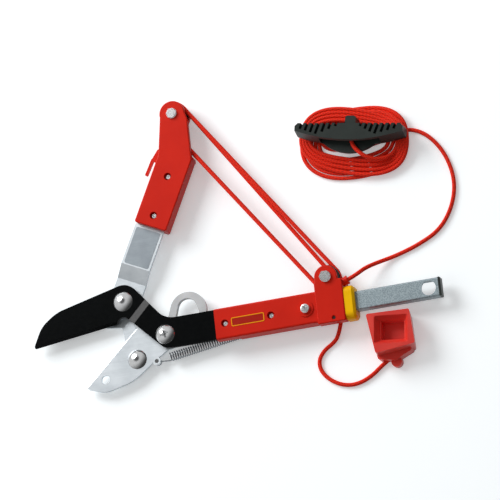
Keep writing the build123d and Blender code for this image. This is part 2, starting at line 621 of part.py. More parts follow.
def head_block(upper):
    flat = outline([(HEAD_LEFT + SEAT, HEAD_LOW, 1.5), (HEAD_RIGHT, HEAD_LOW, 1.5),
                    (HEAD_RIGHT, HEAD_HIGH, 2.0), (HEAD_LEFT + SEAT, HEAD_HIGH, 1.5)])
    flat += Pos(HEAD_X, HEAD_Y) * Circle(EAR)
    flat += Pos(HEAD_X, (HEAD_Y + 10) / 2) * Rectangle(2 * EAR, HEAD_Y - 10)
    body = Pos(0, 0, FLOOR) * extrude(flat, HEAD_DEPTH)
    body = fillet(body.edges().group_by(Axis.Z)[-1], 1.2)
    body -= lean_cut(HEAD_LEFT - 1, HEAD_RIGHT + 1, HEAD_LOW, FLOOR, HEAD_LEAN_RISE, HEAD_LEAN_IN)
    body -= tang_room(HEAD_LEFT - 1, HEAD_RIGHT + 1)
    wall = HEAD_RIGHT - 1.6
    low = HEAD_Y - PULLEY / 2 - 1.6
    body -= block(HEAD_LEFT - 5, wall, low, HEAD_Y + 30, DECK_LOW, DECK_HIGH)
    body -= block(wall - 1, HEAD_RIGHT + 1, HEAD_HIGH, HEAD_Y + 30, DECK_LOW, DECK_HIGH)
    body -= exit_axis() * Cylinder(GUIDE / 2 + SEAT, 40)
    body -= disc(*TETHER_PIN, TETHER_PIN_LOW, HEAD_TOP + 1, TETHER_PIN_SIZE + 2 * SEAT)
    body -= disc(*TETHER_PIN, HEAD_TOP - 1.2, HEAD_TOP + 1, 4.6)
    body -= rod(tether_at(-4), tether_at(TETHER_HOLD + 0.4), ROPE + 0.4)
    body -= disc(HEAD_X, HEAD_Y, FLOOR - 1, HEAD_TOP + 1, AXLE + 2 * SEAT)
    body = keep_half(body, upper)
    if not upper:
        body -= hexagon(HEAD_X, HEAD_Y, FLOOR - 1, FLOOR + 4.2, AXLE_NUT + 2 * POCKET)
    return body


# ---------------------------------------------------------------- pulleys, axles and rope
DECK_LOW = CASE_MID - (2 * PULLEY_STEP + EYE_WIDTH) / 2 - 0.1
DECK_HIGH = DECK_LOW + 2 * PULLEY_STEP + EYE_WIDTH + 0.2
HEAD_HIGH_Z = DECK_HIGH - 0.1 - PULLEY_STEP / 2
HEAD_LOW_Z = HEAD_HIGH_Z - PULLEY_STEP
EYE_Z = DECK_LOW + 0.1 + EYE_WIDTH / 2
TIP_HIGH_Z = CASE_MID + PULLEY_STEP / 2
TIP_LOW_Z = CASE_MID - PULLEY_STEP / 2
EXIT_X, EXIT_Y = -84.0, 22.4
GUIDE = 8.4


def exit_tangent():
    """Where the pull cord leaves the upper head pulley, and the angle that it leaves at."""
    dx, dy = EXIT_X - HEAD_X, EXIT_Y - HEAD_Y
    away = math.hypot(dx, dy)
    spot = math.atan2(dy, dx) - math.acos(PITCH / away)
    return spot, spot + math.pi / 2


EXIT_SPOT, EXIT_WAY = exit_tangent()


def exit_axis():
    """A frame at the cord's exit with its Z axis along the cord."""
    along = (math.cos(EXIT_WAY), math.sin(EXIT_WAY), 0)
    return Plane(origin=(EXIT_X, EXIT_Y, HEAD_HIGH_Z), z_dir=along).location


def cord_guide():
    sleeve = Pos(0, 0, -5.6) * Cylinder(GUIDE / 2, 6.4, align=LOW)
    flange = Pos(0, 0, 0.8) * Cylinder(GUIDE / 2 + 0.4, 1.8, align=LOW)
    return exit_axis() * (sleeve + flange - Cylinder(ROPE / 2 + 0.25, 30))


def pulley(x, y, z):
    half = PULLEY_WIDTH / 2
    body = Pos(x, y, z) * (Cylinder(PULLEY / 2, PULLEY_WIDTH) - Torus(PITCH, ROPE / 2 + POCKET))
    return body - disc(x, y, z - half - 1, z + half + 1, AXLE + 2 * PIVOT)


def axle(x, y, low, high, head, rise):
    body = disc(x, y, low + 0.6, high, AXLE) + hexagon(x, y, high, high + rise, head)
    return body + disc(x, y, high, high + 0.8, head + 1.6)


def strands():
    """The four straight runs of the tackle between lever and head."""
    head = Vector(HEAD_X, HEAD_Y, 0)
    runs = [
        (-PITCH, HEAD_HIGH_Z, -PITCH, TIP_HIGH_Z),
        (PITCH, HEAD_LOW_Z, PITCH, TIP_HIGH_Z),
        (-PITCH, HEAD_LOW_Z, -PITCH, TIP_LOW_Z),
        (EYE_RADIUS, EYE_Z, PITCH, TIP_LOW_Z),
    ]
    made = []
    for head_off, head_z, tip_off, tip_z in runs:
        start = TIP + SIDE * tip_off + WAY * ROPE_GAP + Vector(0, 0, tip_z)
        end = head + SIDE * head_off - WAY * ROPE_GAP + Vector(0, 0, head_z)
        made.append(rod(tuple(start), tuple(end), ROPE))
    return Compound(children=made)


def lever_turns():
    made = [turn(TIP.X, TIP.Y, z, PITCH, WAY_ANGLE + 90, 180) for z in (TIP_HIGH_Z, TIP_LOW_Z)]
    return Compound(children=made)


def head_turns():
    half = turn(HEAD_X, HEAD_Y, HEAD_LOW_Z, PITCH, WAY_ANGLE - 90, 180)
    sweep = (math.degrees(EXIT_SPOT) - (WAY_ANGLE - 90)) % 360
    lead = turn(HEAD_X, HEAD_Y, HEAD_HIGH_Z, PITCH, WAY_ANGLE - 90, sweep)
    leave = (HEAD_X + PITCH * math.cos(EXIT_SPOT), HEAD_Y + PITCH * math.sin(EXIT_SPOT), HEAD_HIGH_Z)
    lead += rod(leave, CORD[0], ROPE)
    eye = turn(HEAD_X, HEAD_Y, EYE_Z, EYE_RADIUS, WAY_ANGLE - 168, 258)
    return Compound(children=[half, lead, eye])


# ---------------------------------------------------------------- pull cord, coil and handle
LIE = FLOOR + ROPE / 2
CORD = [
    (EXIT_X + 3 * math.cos(EXIT_WAY), EXIT_Y + 3 * math.sin(EXIT_WAY), HEAD_HIGH_Z),
    (EXIT_X + 11 * math.cos(EXIT_WAY), EXIT_Y + 11 * math.sin(EXIT_WAY), HEAD_HIGH_Z),
    (-64.0, 33.6, LIE + 11.2),
    (-52.0, 38.6, LIE + 4.6),
    (-36.0, 42.8, LIE),
    (-12.0, 49.6, LIE),
    (14.0, 61.5, LIE),
    (30.0, 84.0, LIE),
    (36.0, 111.0, LIE),
    (28.5, 141.0, LIE),
    (12.0, 163.5, LIE + 0.6),
    (-6.5, 172.2, LIE + 2.0),
]
TETHER = [
    (-97.1, -17.7, LIE + 4.8),
    (-101.6, -29.4, LIE + 1.5),
    (-108.4, -35.4, LIE),
    (-117.6, -40.4, LIE),
    (-124.8, -49.5, LIE),
    (-124.0, -61.5, LIE),
    (-114.8, -73.0, LIE),
    (-100.6, -80.6, LIE),
    (-86.0, -81.0, LIE),
    (-71.5, -75.0, LIE),
    (-60.5, -66.5, LIE + 0.4),
    (-51.6, -61.4, LIE + 1.4),
]
TETHER_PIN = (-98.7, -15.0)
TETHER_PIN_SIZE = 3.2
TETHER_PIN_LOW = TETHER[0][2] + ROPE / 2 + 2.0
TETHER_HOLD = 5.0  # how deep the tether sits in the block
COIL_X, COIL_Y, COIL_TILT = -62.0, 167.0, -10.0
COIL_LONG, COIL_WIDE, COIL_HIGH = 116.0, 78.0, 13.5
COIL_HOLE_LONG, COIL_HOLE_WIDE = 58.0, 22.0


def corner_radii(points):
    radii = []
    for before, at, after in zip(points, points[1:], points[2:]):
        a = Vector(*at) - Vector(*before)
        b = Vector(*after) - Vector(*at)
        bend = math.radians(a.get_angle(b))
        radii.append(0.45 * min(a.length, b.length) / math.tan(bend / 2))
    return radii


def cord(name, points):
    radii = corner_radii(points)
    path = FilletPolyline(*points, radius=radii)
    way = Vector(*points[1]) - Vector(*points[0])
    tube = sweep(Plane(origin=points[0], z_dir=way) * Circle(ROPE / 2), path)
    share = tube.volume / (math.pi * ROPE * ROPE / 4 * path.length)
    print(name, "radii", [round(r, 1) for r in radii], "length", round(path.length, 1), "volume", round(share, 4))
    return tube


def pull_coil():
    flat = Ellipse(COIL_LONG / 2, COIL_WIDE / 2) - Ellipse(COIL_HOLE_LONG / 2, COIL_HOLE_WIDE / 2)
    body = extrude(flat, COIL_HIGH)
    body = fillet(body.edges().group_by(Axis.Z)[-1], 4.0)
    return Pos(COIL_X, COIL_Y, FLOOR) * Rot(0, 0, COIL_TILT) * body


HANDLE_LONG, HANDLE_RISE = 113.0, 17.0
HANDLE_REAR, HANDLE_FRONT = 8.4, -11.6
HANDLE_END = 11.0  # its depth at either end
HANDLE_X, HANDLE_Y = -61.5, 172.4
HANDLE_LOW = FLOOR + COIL_HIGH + 0.2
WINDOW = 63.0  # the opening in the front of the grip
BELLY = 3.5  # thickness of the lower flange
RIM_IN, RIM_DROP = 3.0, 12.5  # how the grip's front leans out downwards


def handle_slots():
    """Slanting slots that open at the rear edge, deepest in the middle of each half."""
    cuts = []
    for side in (-1, 1):
        for i in range(7):
            at = 13.0 + 6.0 * i
            deep = 12.0 - (0.5 if at < 30 else 0.3) * abs(at - 30)
            slot = Box(2.8, 2 * deep, 9, align=LOW)
            cuts.append(Pos(side * at, HANDLE_REAR, HANDLE_RISE - 8) * Rot(0, 0, -18) * slot)
    return cuts


def pull_handle():
    half = HANDLE_LONG / 2
    rear, front = HANDLE_REAR, HANDLE_REAR - HANDLE_END
    flat = make_face(
        Polyline((half - 3, rear), (half, rear - 3), (half, front))
        + ThreePointArc((half, front), (0, HANDLE_FRONT), (-half, front))
        + Polyline((-half, front), (-half, rear - 3), (-half + 3, rear), (half - 3, rear))
    )
    body = extrude(flat, HANDLE_RISE)
    top = body.faces().sort_by(Axis.Z)[-1]
    front = top.edges().filter_by(GeomType.CIRCLE)
    body = chamfer(front, RIM_IN, RIM_DROP, reference=top)
    for cut in handle_slots():
        body -= cut
    body -= Pos(0, HANDLE_FRONT - 2, BELLY) * Box(WINDOW, 12, HANDLE_RISE - BELLY - 3.5,
                                                  align=(Align.CENTER, Align.MIN, Align.MIN))
    belly = make_face(ThreePointArc((-36, -2), (-3, -19.5), (32, -2)) + Line((32, -2), (-36, -2)))
    body += extrude(belly, BELLY)
    stub = Pos(1, rear + 1.5, 0) * RectangleRounded(11, 13, 2.5)
    body += extrude(stub, HANDLE_RISE - 1.5)
    return Pos(HANDLE_X, HANDLE_Y, HANDLE_LOW) * Rot(0, 0, COIL_TILT) * body


def handle_knot():
    spot = Pos(HANDLE_X, HANDLE_Y, HANDLE_LOW + BELLY) * Rot(0, 0, COIL_TILT) * Pos(0, HANDLE_FRONT + 6.6, 0)
    return spot * Cylinder(3.1, 6.0, align=LOW)


# ---------------------------------------------------------------- tang cap
CAP_HIGH = 25.0
CAP_TOP = FLOOR + CAP_HIGH
SOCKET_X, SOCKET_Y, SOCKET_LONG, SOCKET_WIDE, SOCKET_DEEP = -42.0, -36.4, 24.0, 19.0, 19.0
CAP_TILT = -6.0
FUNNEL_LONG, FUNNEL_WIDE, FUNNEL_DEEP = 35.0, 28.5, 7.0


def tang_cap():
    mouth = outline([(-66.2, -17.0, 2), (-21.1, -18.8, 2), (-19.0, -54.6, 2), (-60.5, -58.5, 2)])
    foot = outline([(-65.5, -19.5, 2), (-25.0, -21.0, 2), (-24.0, -56.0, 2), (-63.5, -59.5, 2)])
    body = loft([Pos(0, 0, FLOOR) * foot, Pos(0, 0, CAP_TOP) * mouth])
    prow = plate([(-62.5, -57, 1), (-25.0, -53, 1), (-26.5, -58.0, 2), (-44.0, -65.5, 3), (-61.5, -62.0, 2)],
                 FLOOR, 12.0)
    lug = disc(-44.0, -66.0, FLOOR, FLOOR + 7.0, 11.0)
    body = body + prow + lug
    body -= Pos(SOCKET_X, SOCKET_Y, CAP_TOP) * Rot(0, 0, CAP_TILT) * extrude(
        RectangleRounded(FUNNEL_LONG, FUNNEL_WIDE, 2.0), -FUNNEL_DEEP, taper=35)
    pocket = Pos(SOCKET_X, SOCKET_Y, CAP_TOP - SOCKET_DEEP) * Rot(0, 0, CAP_TILT) * extrude(
        RectangleRounded(SOCKET_LONG, SOCKET_WIDE, 1.5), SOCKET_DEEP + 1)
    body -= pocket
    way = Vector(*TETHER[-1]) - Vector(*TETHER[-2])
    end = Vector(*TETHER[-1])
    return body - rod(tuple(end - way.normalized() * 30), tuple(end + way.normalized() * 0.2), ROPE + 0.4)


def tether_at(depth):
    """A point on the tether's own line, this deep inside the head block."""
    way = (Vector(*TETHER[0]) - Vector(*TETHER[1])).normalized()
    return tuple(Vector(*TETHER[0]) + way * depth)


def tether_root():
    return rod(TETHER[0], tether_at(TETHER_HOLD), ROPE)


def tether_pin():
    return disc(*TETHER_PIN, TETHER_PIN_LOW, HEAD_TOP - 1.2, TETHER_PIN_SIZE)


# ---------------------------------------------------------------- write the nodes
save("fixed_blade", fixed_blade())
save("hook_blade", hook_blade())
save("drive_link", drive_link())
save("spring_stud", spring_stud())
save("lever_bar", lever_bar())
save("lever_label", lever_label())
save("lever_pivot_rivet", lever_rivet())
save("jaw_pivot_bolt", jaw_bolt())
save("jaw_pivot_washer", jaw_washer())
save("jaw_pivot_nut", jaw_nut())
save("link_rivet", link_rivet())
save("crank_pin", crank_pin())
save("stop_loop", stop_loop())
save("return_spring", return_spring())
save("spring_anchor_pin", spring_anchor())
save("tang", tang())
save("tang_end_plug", tang_end_plug())
save("collar", collar())
for name, upper in (("top", True), ("bottom", False)):
    save(f"arm_casing_{name}", arm_casing(upper))
    save(f"lever_casing_{name}", lever_casing(upper))
    save(f"head_block_{name}", head_block(upper))


def casing_screws(places, frame):
    seat = CASE_TOP - SCREW_SEAT
    made = [frame * screw(x, y, seat, CASE_LOW + 0.2, SCREW, SCREW_HEAD, SCREW_HEAD_RISE) for x, y in places]
    return Compound(children=made)


def casing_nuts(places, frame):
    made = [frame * nut(x, y, CASE_LOW + 0.1, CASE_LOW + NUT_RISE, NUT, SCREW + 2 * PIVOT) for x, y in places]
    return Compound(children=made)


save("arm_casing_screws", casing_screws(ARM_SCREWS, Location()))
save("arm_casing_nuts", casing_nuts(ARM_SCREWS, Location()))
save("lever_casing_screws", casing_screws(LEVER_SCREWS, PLACE_LEVER))
save("lever_casing_nuts", casing_nuts(LEVER_SCREWS, PLACE_LEVER))
save("tang_screw", screw(TANG_SCREW_X, TANG_SCREW_Y, CASE_TOP + 1.0, CASE_LOW + 0.2, TANG_SCREW,
                         TANG_SCREW_HEAD, 3.4))
save("tang_nut", nut(TANG_SCREW_X, TANG_SCREW_Y, CASE_LOW + 0.1, CASE_LOW + 5.0, TANG_NUT,
                     TANG_SCREW + 2 * PIVOT))
save("head_pulley_upper", pulley(HEAD_X, HEAD_Y, HEAD_HIGH_Z))
save("head_pulley_lower", pulley(HEAD_X, HEAD_Y, HEAD_LOW_Z))
save("lever_pulley_upper", pulley(TIP.X, TIP.Y, TIP_HIGH_Z))
save("lever_pulley_lower", pulley(TIP.X, TIP.Y, TIP_LOW_Z))
save("head_axle_bolt", axle(HEAD_X, HEAD_Y, FLOOR, HEAD_TOP, 10.0, 3.6))
save("head_axle_nut", nut(HEAD_X, HEAD_Y, FLOOR + 0.1, FLOOR + 4.1, AXLE_NUT, AXLE + 2 * PIVOT))
save("lever_axle_bolt", axle(TIP.X, TIP.Y, CASE_LOW, CASE_TOP, 9.0, 3.0))
save("lever_axle_nut", PLACE_LEVER * nut(TIP_U, TIP_V, CASE_LOW + 0.1, CASE_LOW + 3.9, AXLE_NUT,
                                         AXLE + 2 * PIVOT))
save("cord_guide", cord_guide())
save("tackle_strands", strands())
save("lever_rope_turns", lever_turns())
save("head_rope_turns", head_turns())
save("tether_pin", tether_pin())
save("tether_root", tether_root())
save("tether_cord", cord("tether_cord", TETHER))
save("pull_cord_run", cord("pull_cord_run", CORD))
save("pull_cord_coil", pull_coil())
save("pull_handle", pull_handle())
save("handle_knot", handle_knot())
save("tang_cap", tang_cap())
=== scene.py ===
"""The looks of a rope-driven tree lopper head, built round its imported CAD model. Metres, +Z up."""

import json
import math

import bmesh
import bpy
from mathutils import Matrix, Vector


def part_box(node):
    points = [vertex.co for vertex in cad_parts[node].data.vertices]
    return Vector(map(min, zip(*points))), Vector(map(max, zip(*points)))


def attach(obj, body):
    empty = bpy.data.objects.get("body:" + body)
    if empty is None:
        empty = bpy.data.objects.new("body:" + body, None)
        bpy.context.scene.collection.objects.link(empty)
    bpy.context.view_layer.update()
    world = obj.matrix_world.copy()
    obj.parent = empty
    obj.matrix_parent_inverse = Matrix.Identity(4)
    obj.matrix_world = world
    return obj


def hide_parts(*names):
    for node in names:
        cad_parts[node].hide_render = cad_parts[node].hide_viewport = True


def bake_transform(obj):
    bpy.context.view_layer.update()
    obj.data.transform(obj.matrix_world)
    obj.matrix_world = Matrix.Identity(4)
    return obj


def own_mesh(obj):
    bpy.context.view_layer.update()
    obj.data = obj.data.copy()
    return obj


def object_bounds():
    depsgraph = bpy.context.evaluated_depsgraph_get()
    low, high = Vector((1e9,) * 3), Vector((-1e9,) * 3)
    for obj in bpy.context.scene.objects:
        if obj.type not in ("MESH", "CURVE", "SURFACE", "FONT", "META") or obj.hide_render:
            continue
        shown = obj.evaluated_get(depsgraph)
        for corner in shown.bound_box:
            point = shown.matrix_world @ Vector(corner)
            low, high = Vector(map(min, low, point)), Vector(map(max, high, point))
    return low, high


MM = 0.001
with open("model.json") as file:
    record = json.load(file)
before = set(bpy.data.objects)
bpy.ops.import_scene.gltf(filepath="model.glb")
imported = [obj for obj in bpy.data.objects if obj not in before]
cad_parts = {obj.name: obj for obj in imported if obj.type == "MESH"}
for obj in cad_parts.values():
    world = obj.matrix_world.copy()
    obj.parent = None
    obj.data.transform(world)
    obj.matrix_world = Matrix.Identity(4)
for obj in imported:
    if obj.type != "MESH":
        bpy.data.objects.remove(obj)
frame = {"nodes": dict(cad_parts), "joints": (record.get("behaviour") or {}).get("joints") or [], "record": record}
cad_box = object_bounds()
FLOOR = cad_box[0][2]
NODES = frame["nodes"]


def joint_place(name):
    """Where a joint of the frame turns."""
    return Vector(next(j for j in frame["joints"] if j["name"] == name)["pos_m"])


def mm(*values):
    """Millimetres as metres."""
    return tuple(v * MM for v in values)


# ---------------------------------------------------------------- driving sizes, in metres
ROPE = 4.2 * MM
LIE = FLOOR + ROPE / 2  # height of a rope's middle on the floor
PITCH = 12.2 * MM  # radius of the rope's middle on a pulley
LEVER_TIP = joint_place("lever_pulley_upper_spin")
HEAD_AXLE = joint_place("head_pulley_upper_spin")
EXIT = mm(-81.195, 23.467, -0.2)  # where the pull cord leaves the head
EXIT_WAY = (0.935, 0.355)  # and its direction there


# ---------------------------------------------------------------- pieces
def add_piece(name, data):
    """A new object with this data, in the scene."""
    piece = bpy.data.objects.new(name, data)
    bpy.context.scene.collection.objects.link(piece)
    return piece


def mesh_of(shape, name):
    """The mesh data of a finished bmesh, which is freed."""
    data = bpy.data.meshes.new(name)
    shape.to_mesh(data)
    shape.free()
    return data


def smooth(data):
    """Shades every face of a mesh smooth."""
    for face in data.polygons:
        face.use_smooth = True


# ---------------------------------------------------------------- shader helpers
def set_inputs(node, values):
    for name, value in values.items():
        node.inputs[name].default_value = value


def new_material(name, values=None):
    """A material, its node tree and its Principled shader with these uniform values."""
    material = bpy.data.materials.new(name)
    material.use_nodes = True
    shader = material.node_tree.nodes["Principled BSDF"]
    set_inputs(shader, values or {})
    return material, material.node_tree, shader


def add_node(tree, kind, inputs=None, **settings):
    """A shader node with these settings, and these values on its inputs."""
    node = tree.nodes.new(kind)
    for key, value in settings.items():
        setattr(node, key, value)
    set_inputs(node, inputs or {})
    return node


def object_space(tree, scale=(1, 1, 1), rotation=(0, 0, 0)):
    """Object coordinates, scaled and turned."""
    where = add_node(tree, "ShaderNodeTexCoord")
    place = add_node(tree, "ShaderNodeMapping", {"Scale": scale, "Rotation": rotation})
    tree.links.new(where.outputs["Object"], place.inputs["Vector"])
    return place.outputs["Vector"]


def noise(tree, vector, scale, detail=3, roughness=0.5):
    """Soft noise; the scale is in waves a metre."""
    values = {"Scale": scale, "Detail": detail, "Roughness": roughness}
    node = add_node(tree, "ShaderNodeTexNoise", values)
    tree.links.new(vector, node.inputs["Vector"])
    return node.outputs["Fac"]


def spread(tree, value, low, high):
    """value from 0 to 1 mapped to low to high."""
    node = add_node(tree, "ShaderNodeMapRange", {"To Min": low, "To Max": high})
    tree.links.new(value, node.inputs["Value"])
    return node.outputs["Result"]


def calculate(tree, operation, first, second):
    """A Math node on two sockets, or on a socket and a number."""
    node = add_node(tree, "ShaderNodeMath", operation=operation)
    tree.links.new(first, node.inputs[0])
    if isinstance(second, bpy.types.NodeSocket):
        tree.links.new(second, node.inputs[1])
    else:
        node.inputs[1].default_value = second
    return node.outputs["Value"]


def mixed(tree, first, second, share):
    """Two values mixed, with this share of the second."""
    node = add_node(tree, "ShaderNodeMix", {"Factor": share})
    tree.links.new(first, node.inputs["A"])
    tree.links.new(second, node.inputs["B"])
    return node.outputs["Result"]


def tint(tree, shader, value, *stops):
    """Colours the shader by value, between two (position, colour) stops."""
    node = add_node(tree, "ShaderNodeValToRGB")
    for element, (position, colour) in zip(node.color_ramp.elements, stops):
        element.position = position
        element.color = (*colour, 1)
    tree.links.new(value, node.inputs["Fac"])
    tree.links.new(node.outputs["Color"], shader.inputs["Base Color"])


def roughen(tree, shader, value, low, high):
    """Varies the shader's roughness from low to high with value."""
    tree.links.new(spread(tree, value, low, high), shader.inputs["Roughness"])


def bump(tree, shader, height, distance, strength):
    """Gives the shader fine relief from a height."""
    node = add_node(tree, "ShaderNodeBump", {"Strength": strength, "Distance": distance})
    tree.links.new(height, node.inputs["Height"])
    tree.links.new(node.outputs["Normal"], shader.inputs["Normal"])


# ---------------------------------------------------------------- finishes
def moulded_plastic(name, colour, deep, roughness, grain=0.04 * MM, gloss=0.2):
    """Injection-moulded plastic: slow colour drift and a fine spark-eroded grain."""
    material, tree, shader = new_material(name, {"Specular IOR Level": gloss})
    space = object_space(tree)
    tint(tree, shader, noise(tree, space, 35, 2), (0.3, deep), (0.7, colour))
    roughen(tree, shader, noise(tree, space, 420, 3), roughness - 0.06, roughness + 0.08)
    bump(tree, shader, noise(tree, space, 2600, 2), grain, 0.6)
    return material


def ground_steel(name, colour, dark, roughness, angle, stretch=40.0):
    """Steel with fine brush lines along an angle in the plane, over faint clouds."""
    material, tree, shader = new_material(name, {"Metallic": 1.0})
    brushed = object_space(tree, (stretch, 1400, 60), (0, 0, math.radians(-angle)))
    lines = noise(tree, brushed, 1.0, 4, 0.6)
    clouds = noise(tree, object_space(tree), 60, 3)
    tint(tree, shader, mixed(tree, clouds, lines, 0.25), (0.3, dark), (0.7, colour))
    roughen(tree, shader, lines, roughness - 0.08, roughness + 0.1)
    bump(tree, shader, lines, 0.02 * MM, 0.4)
    return material


def black_coating():
    """Black non-stick coating with a fine orange-peel texture."""
    material, tree, shader = new_material("black_coating", {"Specular IOR Level": 0.15})
    space = object_space(tree)
    deep, pale = (0.0003, 0.0008, 0.001), (0.0008, 0.0015, 0.0018)
    tint(tree, shader, noise(tree, space, 90, 3), (0.3, deep), (0.75, pale))
    roughen(tree, shader, noise(tree, space, 300, 4), 0.2, 0.27)
    bump(tree, shader, noise(tree, space, 1500, 3), 0.03 * MM, 0.5)
    return material


def galvanised():
    """Hot-dip zinc: a mottle of small spangles."""
    material, tree, shader = new_material("galvanised_steel", {"Metallic": 0.85})
    spangles = add_node(tree, "ShaderNodeTexVoronoi", {"Scale": 900.0, "Randomness": 1.0})
    tree.links.new(object_space(tree), spangles.inputs["Vector"])
    speckle = noise(tree, object_space(tree), 1100, 4, 0.7)
    mottle = mixed(tree, spangles.outputs["Distance"], speckle, 0.5)
    tint(tree, shader, mottle, (0.25, (0.15, 0.19, 0.21)), (0.6, (0.36, 0.43, 0.46)))
    roughen(tree, shader, speckle, 0.38, 0.6)
    bump(tree, shader, speckle, 0.05 * MM, 0.5)
    return material


BRAID_PITCH = 5.2 * MM  # along the rope, for each crossing of the strands
BRAID_STRANDS = 6  # round the rope


def braided_rope(name, length):
    """Braided cord: two sets of strands that cross, along a tube of this length, with painted shade in the grooves
    between them.
    """
    material, tree, shader = new_material(name, {
        "Roughness": 0.62,
        "Specular IOR Level": 0.15,
        "Sheen Weight": 0.12,
        "Sheen Roughness": 0.4,
        "Sheen Tint": (1.0, 0.3, 0.2, 1),
    })
    where = add_node(tree, "ShaderNodeTexCoord")
    strands = []
    for lean in (1, -1):
        scale = (length / BRAID_PITCH, BRAID_STRANDS * lean, 1)
        place = add_node(tree, "ShaderNodeMapping", {"Scale": scale})
        tree.links.new(where.outputs["UV"], place.inputs["Vector"])
        parts = add_node(tree, "ShaderNodeSeparateXYZ")
        tree.links.new(place.outputs["Vector"], parts.inputs["Vector"])
        slant = calculate(tree, "ADD", parts.outputs["X"], parts.outputs["Y"])
        strands.append(calculate(tree, "PINGPONG", slant, 0.5))
    height = spread(tree, calculate(tree, "MAXIMUM", *strands), 0, 2)
    # The low parts between the strands are coloured darker: this is painted shade in the braid's grooves, not a
    # colour of the cord.
    tint(tree, shader, height, (0.35, (0.54, 0.011, 0.005)), (0.8, (0.94, 0.03, 0.008)))
    bump(tree, shader, height, 0.25 * MM, 0.5)
    return material


def rubbery_cap():
    """Soft red PVC that lets a little light through."""
    material, tree, shader = new_material("soft_red_pvc", {
        "Roughness": 0.34,
        "Subsurface Weight": 0.2,
        "Subsurface Radius": (0.012, 0.001, 0.0008),
        "Subsurface Scale": 0.5,
    })
    space = object_space(tree)
    deep, pale = (0.7, 0.032, 0.022), (0.84, 0.055, 0.036)
    tint(tree, shader, noise(tree, space, 30, 2), (0.3, deep), (0.7, pale))
    bump(tree, shader, noise(tree, space, 700, 3), 0.04 * MM, 0.5)
    return material


def polished_steel(name, roughness=0.1, shine=(0.8, 0.81, 0.82)):
    """Bright steel, a little dulled in places."""
    material, tree, shader = new_material(name, {"Metallic": 1.0})
    space = object_space(tree)
    dull = tuple(0.85 * c for c in shine)
    tint(tree, shader, noise(tree, space, 180, 3), (0.3, dull), (0.7, shine))
    roughen(tree, shader, noise(tree, space, 500, 4), roughness, roughness + 0.12)
    bump(tree, shader, noise(tree, space, 900, 2), 0.02 * MM, 0.3)
    return material


def nylon():
    """Natural nylon, milky and slightly see-through."""
    material, tree, shader = new_material("natural_nylon", {
        "Roughness": 0.42,
        "Subsurface Weight": 0.3,
        "Subsurface Radius": (0.006, 0.005, 0.004),
        "Subsurface Scale": 0.5,
    })
    space = object_space(tree)
    deep, pale = (0.52, 0.53, 0.54), (0.66, 0.67, 0.68)
    tint(tree, shader, noise(tree, space, 50, 2), (0.3, deep), (0.7, pale))
    bump(tree, shader, noise(tree, space, 900, 3), 0.04 * MM, 0.4)
    return material


CASING_RED, CASING_DEEP = (0.68, 0.014, 0.002), (0.62, 0.011, 0.0015)
GRIP_DARK, GRIP_DEEP = (0.022, 0.03, 0.026), (0.014, 0.019, 0.017)
COLLAR_YELLOW, COLLAR_DEEP = (1.0, 0.58, 0.0005), (0.93, 0.46, 0.0005)
BLADE_BRIGHT, BLADE_DULL = (0.66, 0.7, 0.73), (0.5, 0.54, 0.57)
FOIL_BRIGHT, FOIL_DULL = (0.34, 0.38, 0.41), (0.25, 0.28, 0.31)
FINISH = {
    "red_plastic": moulded_plastic("red_casing_plastic", CASING_RED, CASING_DEEP, 0.38,
                                   gloss=0.15),
    "dark_plastic": moulded_plastic("dark_grip_plastic", GRIP_DARK, GRIP_DEEP, 0.4,
                                    0.06 * MM, 0.25),
    "yellow_plastic": moulded_plastic("yellow_collar_plastic", COLLAR_YELLOW, COLLAR_DEEP, 0.36,
                                      gloss=0.1),
    "black_steel": black_coating(),
    "blade_steel": ground_steel("ground_blade_steel", BLADE_BRIGHT, BLADE_DULL, 0.42, 20),
    "rivet_steel": polished_steel("polished_rivet_steel"),
    "screw_steel": polished_steel("zinc_plated_screw_steel", 0.22, (0.96, 0.97, 0.98)),
    "spring_steel": polished_steel("drawn_spring_wire", 0.16, (0.34, 0.36, 0.38)),
    "zinc_tang": galvanised(),
    "pale_nylon": nylon(),
    "red_clear_plastic": rubbery_cap(),
    "foil_label": ground_steel("blank_foil", FOIL_BRIGHT, FOIL_DULL, 0.38, 63.5, 30.0),
    "red_rope": braided_rope("braided_rope_end", 0.01),
}


def paint(node, material):
    """Gives a node this one material."""
    node.data.materials.clear()
    node.data.materials.append(material)


def paint_nodes():
    """Gives every CAD node the finish of its material slot, and the tether's pin its own."""
    slots = {s["node"]: s["material_slot"] for s in frame["record"]["subparts"]}
    for name, node in NODES.items():
        paint(node, FINISH[slots[name]])
    blackened = polished_steel("blackened_pin_steel", 0.45, (0.06, 0.035, 0.033))
    paint(NODES["tether_pin"], blackened)


# ---------------------------------------------------------------- round ropes and wire
def spline_curve(name, points, diameter, sides=5, steps=8):
    """A round rope on one NURBS spline with these control points."""
    curve = bpy.data.curves.new(name, "CURVE")
    curve.dimensions = "3D"
    curve.bevel_depth = diameter / 2
    curve.bevel_resolution = sides
    curve.resolution_u = steps
    curve.use_fill_caps = True
    spline = curve.splines.new("NURBS")
    spline.points.add(len(points) - 1)
    for point, place in zip(spline.points, points):
        point.co = (*place, 1)
    spline.order_u = 3
    spline.use_endpoint_u = True
    return add_piece(name, curve)


def mesh_from(curve):
    """The mesh that a curve piece makes as it stands."""
    bpy.context.view_layer.update()
    depsgraph = bpy.context.evaluated_depsgraph_get()
    return bpy.data.meshes.new_from_object(curve.evaluated_get(depsgraph))


def route_length(rope):
    """The length of a rope's centreline."""
    depth = rope.data.bevel_depth
    rope.data.bevel_depth = 0
    line = mesh_from(rope)
    rope.data.bevel_depth = depth
    points = [v.co.copy() for v in line.vertices]
    bpy.data.meshes.remove(line)
    return sum((b - a).length for a, b in zip(points, points[1:]))


